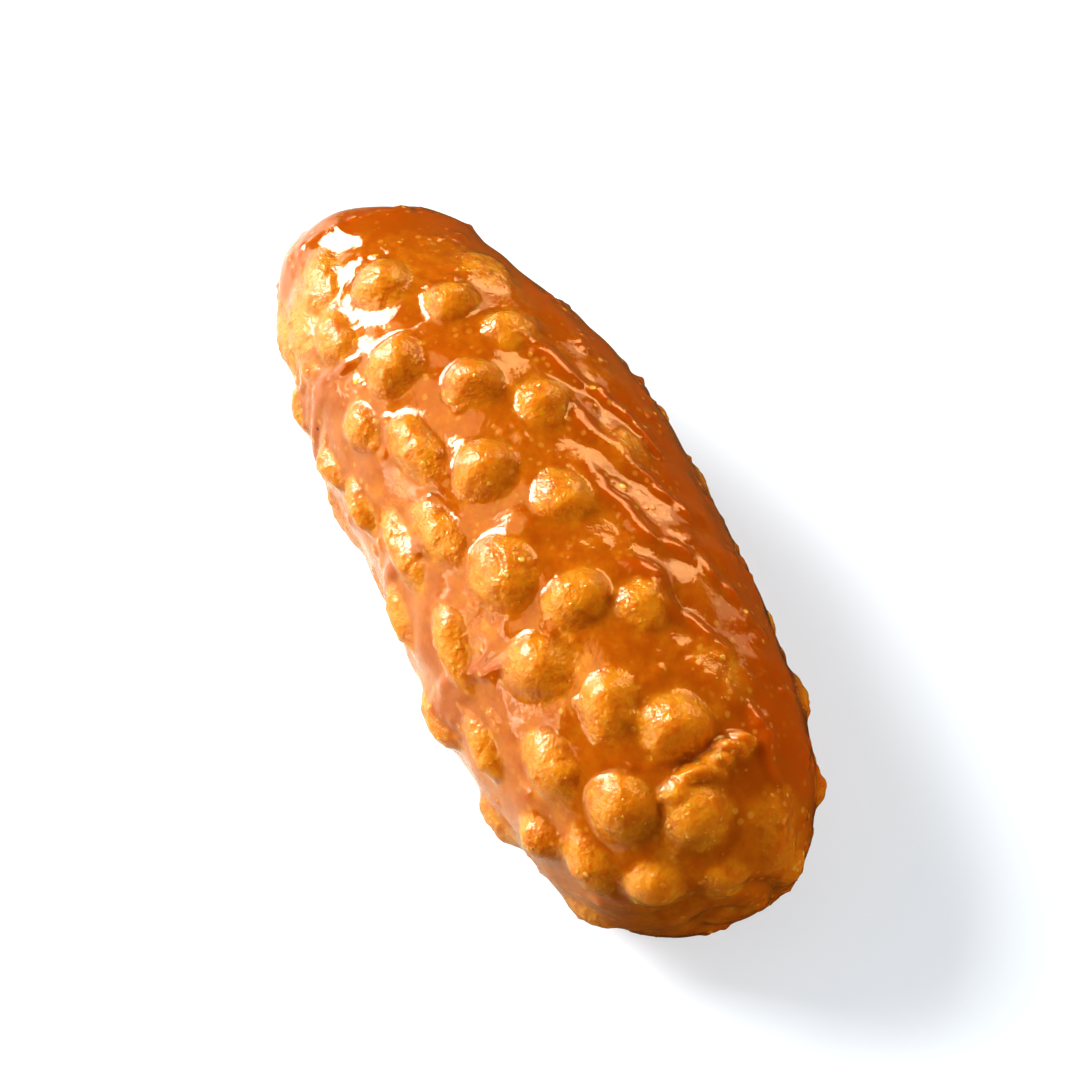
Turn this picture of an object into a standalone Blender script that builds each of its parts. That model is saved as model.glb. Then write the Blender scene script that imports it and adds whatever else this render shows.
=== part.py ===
"""A syrup-soaked semolina finger: a rolled log of dough whose skin was pressed over a
perforated plate, so that rows of round beads stand on it.

Metres, +Z up. The finger lies along X on its flattened underside, with the blunt beaded
end at +X and the smooth end at -X. The origin is on the floor under its middle.
Angles run round the log from +Y over the top to -Y.
"""

import math
import random

import bpy
import numpy as np

MM = 0.001

# The log without its beads.
LOG_LENGTH = 63.0 * MM
LOG_WIDTH = 24.2 * MM
LOG_HEIGHT = 23.8 * MM
AXIS_HEIGHT = 10.8 * MM  # less than half of LOG_HEIGHT, so the underside is flattened
LOG_SKEW = 0.30  # how far each end is cut askew, along X over Y
BLUNTNESS = 3.0  # exponent of the outline's superellipse, 2 for an ellipse
CAP_START = 0.5 ** (1 / BLUNTNESS)  # share of the half length where an end cap starts
SMOOTH_END_TAPER = 0.12
SMOOTH_TAPER_SPAN = (-0.25, -1.0)
SMOOTH_SIDE_TAPER = 0.12  # more of it on the +Y side
SMOOTH_SIDE_SPAN = (-0.2, -0.85)
BEADED_END_TAPER = 0.03
BEADED_TAPER_SPAN = (0.3, 1.0)
SIDE_BOW = 1.6 * MM
LUMP_HEIGHT = 0.22 * MM
LUMP_LENGTH = 19.0 * MM
LUMP_WAVES = 5

# The beads on the crown and the near flank: share of the half length, degrees round the log,
# width over the usual, length over width, and rise over the usual. They stand at their full rise.
PLACED_BEADS = (
    (-0.72, 134, 0.80, 2.0, 0.60),
    (-0.62, 108, 0.95, 1.2, 0.95),
    (-0.51, 90, 0.95, 1.0, 1.02),
    (-0.41, 74, 0.88, 1.0, 0.78),
    (-0.52, 137, 0.84, 1.5, 0.85),
    (-0.36, 119, 1.08, 1.0, 1.12),
    (-0.25, 98, 1.00, 1.0, 1.05),
    (-0.17, 79, 0.92, 1.0, 0.90),
    (-0.25, 142, 0.75, 1.4, 0.80),
    (-0.48, 178, 0.60, 1.6, 0.80),
    (-0.12, 126, 0.82, 1.9, 0.92),
    (-0.01, 108, 1.04, 1.0, 1.10),
    (0.10, 89, 1.00, 1.0, 0.90),
    (-0.25, 168, 0.60, 1.8, 0.80),
    (-0.10, 162, 0.62, 2.0, 0.80),
    (0.26, 118, 1.08, 1.3, 0.95),
    (0.36, 99, 1.00, 1.0, 1.02),
    (0.40, 80, 0.88, 1.1, 0.80),
    (0.08, 150, 0.66, 2.6, 0.75),
    (0.11, 132, 0.66, 2.4, 0.70),
    (0.19, 168, 0.62, 2.2, 0.75),
    (0.49, 122, 1.04, 1.1, 0.90),
    (0.36, 148, 0.70, 2.2, 0.80),
    (0.62, 104, 0.98, 1.2, 0.90),
    (0.69, 84, 1.08, 1.0, 1.00),
    (0.71, 136, 0.95, 1.4, 0.88),
    (0.44, 180, 0.65, 2.0, 0.80),
    (0.58, 161, 0.66, 1.8, 0.80),
    (0.83, 117, 1.00, 1.1, 1.08),
    (0.87, 86, 1.04, 1.0, 0.92),
    (0.85, 47, 0.90, 1.0, 0.45),
    (0.80, 164, 0.74, 1.1, 0.95),
    (0.90, 150, 0.92, 1.3, 0.95),
    (0.97, 127, 0.95, 1.0, 0.95),
    (0.98, 73, 0.80, 1.0, 0.60),
    (0.92, 40, 0.75, 1.0, 0.45),
    (0.94, 18, 0.70, 1.0, 0.50),
    (0.75, 10, 0.50, 1.2, 0.75),
)
PLACED_ANGLES = (math.radians(64), math.radians(154))  # no other beads between these

# The other beads, on a slanting lattice with steps of (along the log, round the log).
BEAD_STEP = (3.5 * MM, 4.0 * MM)
ROW_STEP = (7.9 * MM, -1.9 * MM)
FIRST_BEAD = (-0.3 * MM, -3.7 * MM)
LATTICE_REACH = 14
BEAD_SHIFT = 0.45 * MM
BEAD_WIDTHS = (0.84, 1.1)
BEAD_STRETCHES = (1.0, 1.25)
BEAD_LIFTS = (0.75, 1.1)
LEAST_SPACING = 4.1 * MM
LAST_BEAD = 0.97  # share of the half length
STREAK_ANGLES = (math.radians(150), math.radians(205))  # long low beads, low on one flank
STREAK_ALONG = (-0.85, 0.65)
STREAK_STRETCH = 2.3
STREAK_RISE = 0.55

# One bead's form, and where the lattice's beads are lower.
BEAD_RADIUS = 2.3 * MM  # where its side meets the log
BEAD_RISE = 1.6 * MM
BEAD_ROUNDNESS = 2.4  # power of its profile, 2 for a parabola
BEAD_ROOT = 1.0 * MM  # its side runs on this far under the log's skin
BEAD_SLANT = 0.3
LEAST_RISE = 0.3 * MM
FILLET = 0.24 * MM
WARP = 0.19 * MM  # pulls the beads' round outlines uneven
WARP_LENGTH = 5.0 * MM
WARP_WAVES = 4
LOW_FLANK = (1.2 * MM, 5.0 * MM)  # heights over the floor
SMOOTH_END = (-0.78, -0.92)
SMOOTH_END_LOSS = 0.7
BLUNT_END = (0.84, 0.95)
BLUNT_END_LOSS = 0.65
PRESSING = 0.85
PRESSED_ANGLE = math.radians(40)
PRESSED_SPREAD = math.radians(26)
PRESSED_END = (1.0, 0.85)

# A torn lip of skin across the top near the beaded end, as a row of narrow ridges.
LIP_ALONG = (0.83, 0.73)
LIP_ANGLES = (math.radians(96), math.radians(62))
LIP_RIDGES = 7
LIP_SHIFT = 0.012
LIP_SLANT = 0.4
LIP_RADIUS = 0.9 * MM
LIP_RISE = 1.55 * MM
LIP_RISES = (0.85, 1.1)
LIP_STRETCH = 1.8
HOLLOW_SPOT = (0.757, math.radians(85))  # the skin is gone beside the lip
HOLLOW_RADIUS = 1.2 * MM
HOLLOW_DEPTH = 0.8 * MM

# The syrup film in the valleys, by its depth over the log.
FILM_DEPTH = 0.3 * MM
FILM_UNEVENNESS = 0.3
FILM_PATCH = 9.0 * MM
FILM_WAVES = 5
FLANK_FILM_DEPTH = 0.8 * MM
FLANK_FILM_ANGLE = math.radians(35)
FLANK_FILM_SPREAD = math.radians(24)
FLANK_FILM_END = (0.9, 0.7)
END_FILM_DEPTH = 0.7 * MM
END_FILM_START = (-0.76, -0.92)

# The rolled sheet's edge, low on the +Y side, and its coils at both ends.
SEAM_ANGLE = math.radians(-40)
SEAM_STEP = 0.75 * MM
SEAM_RAGGEDNESS = math.radians(3)
SEAM_PATCH = 5.0 * MM
SEAM_WAVES = 4
SEAM_EDGE = (0, math.radians(-5))
SEAM_FADE = (math.radians(-90), math.radians(-60))
SEAM_OUT = (0.35, 0.7)
COIL_PITCH = 3.6 * MM
COIL_DEPTH = 0.4 * MM
COIL_EYE = (0.8 * MM, -0.7 * MM)  # off the axis
COIL_RADIUS = 6.5 * MM
COIL_WIDTH = 0.7 * MM
COIL_START = (0.82, 0.93)

# The mesh.
CELLS_ALONG = 112
CELLS_ACROSS = 44
TRIANGLES = 11600
FOOT_TOLERANCE = 0.01 * MM
SEED = 41

DOUGH_COLOR = (0.62, 0.24, 0.045, 1.0)
DOUGH_ROUGHNESS = 0.22


def smooth_step(low, high, value):
    """0 below low and 1 above high, with an even ramp between them; high may be the lower."""
    share = np.clip((value - low) / (high - low), 0, 1)
    return share * share * (3 - 2 * share)


def bell(value, middle, spread):
    """1 at the middle, falling to almost 0 two spreads away."""
    return np.exp(-(((value - middle) / spread) ** 2))


def waves(points, length, count, seed):
    """An uneven field from about -1 to 1: the mean of a few slanting waves, times two."""
    draw = random.Random(seed)
    field = np.zeros(len(points))
    for _ in range(count):
        heading = np.array([draw.gauss(0, 1) for _ in range(3)])
        heading *= math.tau / length * draw.uniform(0.7, 1.4) / np.linalg.norm(heading)
        field += np.sin(points @ heading + draw.uniform(0, math.tau))
    return 2 * field / count


def outline(share):
    """The log's half width as a share of its largest, at a share of its half length."""
    return (1 - np.abs(share) ** BLUNTNESS) ** (1 / BLUNTNESS)


def log_points(along, out, angle):
    """Points of the bare log, at shares of its half length and half width."""
    taper = 1 - SMOOTH_END_TAPER * smooth_step(*SMOOTH_TAPER_SPAN, along)
    taper = taper - BEADED_END_TAPER * smooth_step(*BEADED_TAPER_SPAN, along)
    side_taper = SMOOTH_SIDE_TAPER * smooth_step(*SMOOTH_SIDE_SPAN, along) * (np.cos(angle) > 0)
    aside = out * taper * (1 - side_taper) * np.cos(angle) * LOG_WIDTH / 2
    x = along * LOG_LENGTH / 2 + LOG_SKEW * aside
    y = aside + SIDE_BOW * (0.5 - along**2)
    z = out * taper * np.sin(angle) * LOG_HEIGHT / 2 + AXIS_HEIGHT
    return np.stack([x, y, z], axis=-1)


def surface_lattice(along, across):
    """A box's grid laid over the log: the (along, out, angle) of its corners, and its quads."""
    index = {}
    spots = []
    quads = []

    def corner(i, j, k):
        if (i, j, k) not in index:
            index[i, j, k] = len(spots)
            spots.append(log_spot(2 * i / along - 1, 2 * j / across - 1, 2 * k / across - 1))
        return index[i, j, k]

    def side(rows, columns, place):
        for r in range(rows):
            for c in range(columns):
                around = ((r, c), (r + 1, c), (r + 1, c + 1), (r, c + 1))
                quads.append([corner(*place(*spot)) for spot in around])

    side(across, along, lambda r, c: (c, r, 0))
    side(along, across, lambda r, c: (r, c, across))
    side(along, across, lambda r, c: (r, 0, c))
    side(across, along, lambda r, c: (c, across, r))
    side(across, across, lambda r, c: (0, c, r))
    side(across, across, lambda r, c: (along, r, c))
    return np.array(spots).T, quads


def log_spot(i, j, k):
    """(along, out, angle) of a point of the box from -1 to 1, its sides wrapped round the log."""
    ring = max(abs(j), abs(k))
    if ring == 0:
        angle = 0.0
    elif abs(j) >= abs(k):
        angle = math.pi / 4 * k / j + (math.pi if j < 0 else 0)
    else:
        angle = math.pi / 2 - math.pi / 4 * j / k + (math.pi if k < 0 else 0)
    if abs(i) == 1:
        out = CAP_START * ring
        return math.copysign(outline(out), i), out, angle
    return CAP_START * i, outline(CAP_START * i), angle


def lattice_places():
    """(along, round) of the lattice's points in metres, from the first bead outwards."""
    steps = range(-LATTICE_REACH, LATTICE_REACH + 1)
    spots = [
        tuple(FIRST_BEAD[a] + m * BEAD_STEP[a] + n * ROW_STEP[a] for a in (0, 1))
        for m in steps
        for n in steps
    ]
    return sorted(spots, key=lambda spot: math.hypot(spot[0] - FIRST_BEAD[0], spot[1] - FIRST_BEAD[1]))


def bead(along, angle, radius, rise, stretch=1.0, slant=0.0):
    """One bead: where it stands, its radius, its top over the log, its stretch and its heading."""
    spot = (np.array([along]), outline(np.array([along])), np.array([angle]))
    ahead = (spot[0] + 0.01, outline(spot[0] + 0.01), spot[2])
    aside = (spot[0], spot[1], spot[2] + 0.01)
    centre = log_points(*spot)[0]
    forward = log_points(*ahead)[0] - centre
    sideways = log_points(*aside)[0] - centre
    heading = math.cos(slant) * forward / np.linalg.norm(forward)
    heading = heading + math.sin(slant) * sideways / np.linalg.norm(sideways)
    return centre, radius, rise, stretch, heading / np.linalg.norm(heading)


def share_of_rise(along, angle, height):
    """How much of its full rise a lattice bead has there, from 0 to 1."""
    low_flank = smooth_step(*LOW_FLANK, height)
    ends = 1 - SMOOTH_END_LOSS * smooth_step(*SMOOTH_END, along)
    ends = ends - BLUNT_END_LOSS * smooth_step(*BLUNT_END, along)
    pressed = PRESSING * bell(angle, PRESSED_ANGLE, PRESSED_SPREAD) * smooth_step(*PRESSED_END, along)
    return float(low_flank * ends * (1 - pressed))


def lattice_beads(draw):
    """(along, angle, width, stretch, rise) of the lattice's beads, clear of the placed ones."""
    half_turn = math.pi * LOG_WIDTH / 2
    found = []
    for along_m, round_m in lattice_places():
        along = (along_m + draw.uniform(-BEAD_SHIFT, BEAD_SHIFT)) / (LOG_LENGTH / 2)
        round_m += draw.uniform(-BEAD_SHIFT, BEAD_SHIFT)
        width = draw.uniform(*BEAD_WIDTHS)
        stretch = draw.uniform(*BEAD_STRETCHES)
        lift = draw.uniform(*BEAD_LIFTS)
        angle = math.pi / 2 - round_m / (LOG_WIDTH / 2)
        if PLACED_ANGLES[0] < angle < PLACED_ANGLES[1]:
            continue
        if STREAK_ANGLES[0] < angle < STREAK_ANGLES[1] and STREAK_ALONG[0] < along < STREAK_ALONG[1]:
            stretch = STREAK_STRETCH
            lift *= STREAK_RISE
        if abs(along) < LAST_BEAD and abs(round_m) < half_turn:
            found.append((along, angle, width, stretch, lift))
    return found


def skin_beads():
    """Every bead that the plate left on the skin."""
    draw = random.Random(SEED)
    placed = [(along, math.radians(turn), *shape) for along, turn, *shape in PLACED_BEADS]
    beads = []
    for number, (along, angle, width, stretch, lift) in enumerate(placed + lattice_beads(draw)):
        slant = draw.uniform(-BEAD_SLANT, BEAD_SLANT)
        new = bead(along, angle, width * BEAD_RADIUS, lift * BEAD_RISE, stretch, slant)
        if number < len(placed):
            beads.append(new)
            continue
        rise = new[2] * share_of_rise(along, angle, new[0][2])
        crowded = any(np.linalg.norm(new[0] - old[0]) < LEAST_SPACING for old in beads)
        if rise > LEAST_RISE and not crowded:
            beads.append((new[0], new[1], rise, new[3], new[4]))
    return beads


def torn_lip():
    """The narrow ridges of the torn lip, from end to end across the log."""
    draw = random.Random(SEED + 6)
    ridges = []
    for step in range(LIP_RIDGES):
        share = step / (LIP_RIDGES - 1)
        along = LIP_ALONG[0] + share * (LIP_ALONG[1] - LIP_ALONG[0]) + draw.uniform(-LIP_SHIFT, LIP_SHIFT)
        angle = LIP_ANGLES[0] + share * (LIP_ANGLES[1] - LIP_ANGLES[0])
        slant = math.pi / 2 + draw.uniform(-LIP_SLANT, LIP_SLANT)
        rise = LIP_RISE * draw.uniform(*LIP_RISES)
        ridges.append(bead(along, angle, LIP_RADIUS, rise, LIP_STRETCH, slant))
    return ridges


def hollow_drop(points):
    """How far the surface drops in the hollow beside the torn lip."""
    centre = bead(*HOLLOW_SPOT, HOLLOW_RADIUS, 0.0)[0]
    return HOLLOW_DEPTH * bell(np.linalg.norm(points - centre, axis=1), 0, HOLLOW_RADIUS)


def film_depth(points, along, angle):
    """The syrup's depth in the valleys: deep on one flank and round the smooth end."""
    patchy = 1 + FILM_UNEVENNESS * waves(points, FILM_PATCH, FILM_WAVES, SEED + 12)
    flank = bell(angle, FLANK_FILM_ANGLE, FLANK_FILM_SPREAD) * smooth_step(*FLANK_FILM_END, along)
    end = smooth_step(*END_FILM_START, along)
    return FILM_DEPTH * patchy + FLANK_FILM_DEPTH * flank + END_FILM_DEPTH * end


def relief(points, along, angle, beads):
    """Height of the beads and the film over the bare log, blended where they meet."""
    blend = np.exp(film_depth(points, along, angle) / FILLET)
    moves = [waves(points, WARP_LENGTH, WARP_WAVES, SEED + n) for n in (3, 4, 5)]
    pulled = points + WARP * np.stack(moves, axis=1)
    for centre, radius, rise, stretch, heading in beads:
        gap = pulled - centre
        lengthwise = gap @ heading
        reach = (gap**2).sum(axis=1) - lengthwise**2 * (1 - 1 / stretch**2)
        dome = rise * (1 - (reach / radius**2) ** (BEAD_ROUNDNESS / 2))
        near = dome > -BEAD_ROOT
        blend[near] += np.exp(dome[near] / FILLET)
    return FILLET * np.log(blend)


def seam_drop(points, out, angle):
    """How far the surface drops where the outer sheet ends, fading out under the finger."""
    ragged = SEAM_ANGLE + SEAM_RAGGEDNESS * waves(points, SEAM_PATCH, SEAM_WAVES, SEED + 1)
    below = smooth_step(*SEAM_EDGE, angle - ragged) * smooth_step(*SEAM_FADE, angle)
    return SEAM_STEP * below * smooth_step(*SEAM_OUT, out)


def coil_groove(points, along):
    """The rolled sheet's spiral at the two ends."""
    sideways = points[:, 1] - COIL_EYE[0]
    upwards = points[:, 2] - AXIS_HEIGHT - COIL_EYE[1]
    radius = np.hypot(sideways, upwards)
    turn = np.arctan2(upwards, sideways) / math.tau
    arm = (radius / COIL_PITCH - turn) % 1
    distance = np.minimum(arm, 1 - arm) * COIL_PITCH
    ring = smooth_step(COIL_RADIUS, COIL_RADIUS / 2, radius) * smooth_step(0, COIL_WIDTH * 2, radius)
    return COIL_DEPTH * ring * smooth_step(*COIL_START, np.abs(along)) * bell(distance, 0, COIL_WIDTH)


def outward(points, quads):
    """Unit normals at the points of a closed grid of quads."""
    corners = points[np.array(quads)]
    face = np.cross(corners[:, 2] - corners[:, 0], corners[:, 3] - corners[:, 1])
    normals = np.zeros_like(points)
    for side in range(4):
        np.add.at(normals, np.array(quads)[:, side], face)
    return normals / np.linalg.norm(normals, axis=1)[:, None]


def finger_points():
    """The finished skin: its points and quads."""
    (along, out, angle), quads = surface_lattice(CELLS_ALONG, CELLS_ACROSS)
    points = log_points(along, out, angle)
    angle = (angle + math.pi / 2) % math.tau - math.pi / 2
    height = relief(points, along, angle, skin_beads() + torn_lip())
    height += LUMP_HEIGHT * waves(points, LUMP_LENGTH, LUMP_WAVES, SEED + 2)
    height -= seam_drop(points, out, angle) + coil_groove(points, along) + hollow_drop(points)
    points = points + outward(points, quads) * height[:, None]
    points[:, 2] = np.maximum(points[:, 2], 0)
    return points, quads


def dough_material():
    material = bpy.data.materials.new("syrup_dough")
    material.use_nodes = True
    surface = material.node_tree.nodes["Principled BSDF"]
    surface.inputs["Base Color"].default_value = DOUGH_COLOR
    surface.inputs["Roughness"].default_value = DOUGH_ROUGHNESS
    surface.inputs["Metallic"].default_value = 0.0
    return material


def thin_faces(thing, faces):
    """Merges the smallest faces, which leaves most of them on the beads."""
    modifier = thing.modifiers.new("fewer_faces", "DECIMATE")
    modifier.ratio = TRIANGLES / (2 * faces)
    graph = bpy.context.evaluated_depsgraph_get()
    thing.data = bpy.data.meshes.new_from_object(thing.evaluated_get(graph))
    thing.modifiers.clear()


def set_on_floor(mesh):
    """Makes the foot exactly flat at z = 0 and centres the mesh over the origin."""
    spots = np.empty(len(mesh.vertices) * 3, np.float32)
    mesh.vertices.foreach_get("co", spots)
    spots = spots.reshape(-1, 3)
    spots[spots[:, 2] < FOOT_TOLERANCE, 2] = 0
    spots[:, :2] -= (spots[:, :2].max(axis=0) + spots[:, :2].min(axis=0)) / 2
    mesh.vertices.foreach_set("co", spots.ravel())
    mesh.update()


def make_finger():
    points, quads = finger_points()
    mesh = bpy.data.meshes.new("zainab_finger")
    mesh.from_pydata(points.tolist(), [], quads)
    mesh.materials.append(dough_material())
    mesh.shade_smooth()
    finger = bpy.data.objects.new("zainab_finger", mesh)
    bpy.context.scene.collection.objects.link(finger)
    thin_faces(finger, len(quads))
    set_on_floor(finger.data)


def clear_scene():
    for thing in list(bpy.data.objects):
        bpy.data.objects.remove(thing)


clear_scene()
make_finger()
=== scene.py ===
"""The looks of a syrup-soaked semolina finger: beaded dough under a wet amber film.

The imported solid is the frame. The skin made here has the same form from the same sizes on a
finer mesh, and the syrup's own surface, its runs, its foot and the grains in it go on top.
Lengths are in metres. Angles run round the log from +Y over the top to -Y.
"""
import logging
import math
import random
from collections.abc import Callable
from dataclasses import dataclass, field
from enum import Enum

import bmesh
import bpy
import numpy as np
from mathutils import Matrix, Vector


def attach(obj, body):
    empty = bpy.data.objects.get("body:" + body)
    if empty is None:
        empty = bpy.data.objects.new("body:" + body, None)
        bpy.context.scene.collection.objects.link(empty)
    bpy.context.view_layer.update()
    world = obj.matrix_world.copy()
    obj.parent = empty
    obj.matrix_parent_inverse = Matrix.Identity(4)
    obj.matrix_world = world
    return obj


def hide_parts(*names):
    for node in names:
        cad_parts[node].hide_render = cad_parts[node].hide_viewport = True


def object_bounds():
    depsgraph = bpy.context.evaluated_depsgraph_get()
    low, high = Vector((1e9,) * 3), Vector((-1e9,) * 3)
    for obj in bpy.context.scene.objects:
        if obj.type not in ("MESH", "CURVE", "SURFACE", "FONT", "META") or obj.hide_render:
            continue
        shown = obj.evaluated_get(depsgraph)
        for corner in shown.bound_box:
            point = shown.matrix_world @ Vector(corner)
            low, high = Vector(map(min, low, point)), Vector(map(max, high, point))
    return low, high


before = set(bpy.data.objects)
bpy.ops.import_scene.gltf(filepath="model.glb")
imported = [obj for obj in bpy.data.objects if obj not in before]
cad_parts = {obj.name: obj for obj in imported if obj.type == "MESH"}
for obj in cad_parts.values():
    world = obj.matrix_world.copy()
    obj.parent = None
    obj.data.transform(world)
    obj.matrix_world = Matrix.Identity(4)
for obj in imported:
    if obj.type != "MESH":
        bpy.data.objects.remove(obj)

MM = 0.001
SEED = 41
NODE = "zainab_finger"
BODY = "root"
CAD_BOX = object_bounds()
WAVE_SPREAD = (0.7, 1.4)  # an uneven field's shortest and longest waves over the usual

Pair = tuple[float, float]
Triple = tuple[float, float, float]  # a place, or a colour's red, green and blue
Ramp = tuple[float, float, float, float]  # from low to high, and what that becomes
Corner = tuple[int, int, int]
Faces = list[list[int]]
Socket = bpy.types.NodeSocket
Value = Socket | float | tuple[float, ...]

log = logging.getLogger("finger")


def smooth_step(low: float, high: float, value: np.ndarray) -> np.ndarray:
    """Ramps evenly from 0 at low to 1 at high.

    Args:
        low: Where the ramp starts. It may be above high.
        high: Where the ramp ends.
        value: The numbers to place on the ramp.

    Returns:
        The share of the ramp that each number has passed.
    """
    share = np.clip((value - low) / (high - low), 0, 1)
    return share * share * (3 - 2 * share)


def bell(value: np.ndarray, middle: float, spread: float) -> np.ndarray:
    """Gives 1 at the middle, falling to almost 0 two spreads away."""
    return np.exp(-(((value - middle) / spread) ** 2))


def waves(points: np.ndarray, length: float, count: int, seed: int) -> np.ndarray:
    """An uneven field made of a few slanting waves.

    Args:
        points: Where to read the field.
        length: The usual wave length.
        count: How many waves are added.
        seed: Picks the waves.

    Returns:
        One number for each point, mostly from -1 to 1.
    """
    draw = random.Random(seed)
    total = np.zeros(len(points))
    for _ in range(count):
        heading = np.array([draw.gauss(0, 1) for _ in range(3)])
        heading *= math.tau / length * draw.uniform(*WAVE_SPREAD) / np.linalg.norm(heading)
        total += np.sin(points @ heading + draw.uniform(0, math.tau))
    return 2 * total / count


def sway(draw: random.Random, most: float) -> float:
    """A random amount, up to this much either way."""
    return draw.uniform(-most, most)


@dataclass(frozen=True)
class Bead:
    """One raised bead or ridge of the skin.

    Attributes:
        centre: Its place on the bare log.
        radius: Where its side meets the log.
        rise: Its top's height over the log.
        stretch: Its length over its width.
        heading: The direction of its length.
    """

    centre: np.ndarray
    radius: float
    rise: float
    stretch: float
    heading: np.ndarray


@dataclass(frozen=True)
class Places:
    """Places on the bare log.

    Attributes:
        points: Where they are, one row each.
        along: Their shares of the half length, from the smooth end's -1 to the beaded end's 1.
        out: Their shares of the half width.
        angle: Their angles round the log, in radians, from -90 to 270 degrees.
    """

    points: np.ndarray
    along: np.ndarray
    out: np.ndarray
    angle: np.ndarray


@dataclass(frozen=True)
class Log:
    """The rolled log without its beads."""

    length: float = 63.0 * MM
    width: float = 24.2 * MM
    height: float = 23.8 * MM
    axis_height: float = 10.8 * MM
    skew: float = 0.30
    bluntness: float = 3.0
    smooth_end_taper: float = 0.12
    smooth_taper_span: Pair = (-0.25, -1.0)
    smooth_side_taper: float = 0.12
    smooth_side_span: Pair = (-0.2, -0.85)
    beaded_end_taper: float = 0.03
    beaded_taper_span: Pair = (0.3, 1.0)
    side_bow: float = 1.6 * MM
    lump_height: float = 0.22 * MM
    lump_length: float = 19.0 * MM
    lump_waves: int = 5
    nudge: float = 0.01

    @property
    def cap_start(self) -> float:
        """The share of the half length where an end cap starts."""
        return 0.5 ** (1 / self.bluntness)

    def outline(self, share: np.ndarray) -> np.ndarray:
        """The half width as a share of its largest, at a share of the half length."""
        return (1 - np.abs(share) ** self.bluntness) ** (1 / self.bluntness)

    def places(self, along: np.ndarray, out: np.ndarray, angle: np.ndarray) -> Places:
        """Places on the bare log.

        Args:
            along: Shares of the half length.
            out: Shares of the half width.
            angle: Angles round the log.

        Returns:
            The places.
        """
        taper = 1 - self.smooth_end_taper * smooth_step(*self.smooth_taper_span, along)
        taper = taper - self.beaded_end_taper * smooth_step(*self.beaded_taper_span, along)
        side_taper = self.smooth_side_taper * smooth_step(*self.smooth_side_span, along)
        side_taper = side_taper * (np.cos(angle) > 0)
        aside = out * taper * (1 - side_taper) * np.cos(angle) * self.width / 2
        x = along * self.length / 2 + self.skew * aside
        y = aside + self.side_bow * (0.5 - along**2)
        z = out * taper * np.sin(angle) * self.height / 2 + self.axis_height
        turned = (angle + math.pi / 2) % math.tau - math.pi / 2
        return Places(np.stack([x, y, z], axis=-1), along, out, turned)

    def spot(self, along: float, angle: float) -> Places:
        """One place on the log's side or end."""
        return self.places(np.array([along]), self.outline(np.array([along])), np.array([angle]))

    def bead(
        self,
        along: float,
        angle: float,
        radius: float,
        rise: float,
        stretch: float = 1.0,
        slant: float = 0.0,
    ) -> Bead:
        """Stands one bead on the log.

        Args:
            along: Its share of the half length.
            angle: Its angle round the log.
            radius: Its radius.
            rise: Its top's height over the log.
            stretch: Its length over its width.
            slant: How far its length turns from the log's axis.

        Returns:
            The bead.
        """
        centre = self.spot(along, angle).points[0]
        forward = self.spot(along + self.nudge, angle).points[0] - centre
        sideways = self.spot(along, angle + self.nudge).points[0] - centre
        heading = math.cos(slant) * forward / np.linalg.norm(forward)
        heading = heading + math.sin(slant) * sideways / np.linalg.norm(sideways)
        return Bead(centre, radius, rise, stretch, heading / np.linalg.norm(heading))


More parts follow.
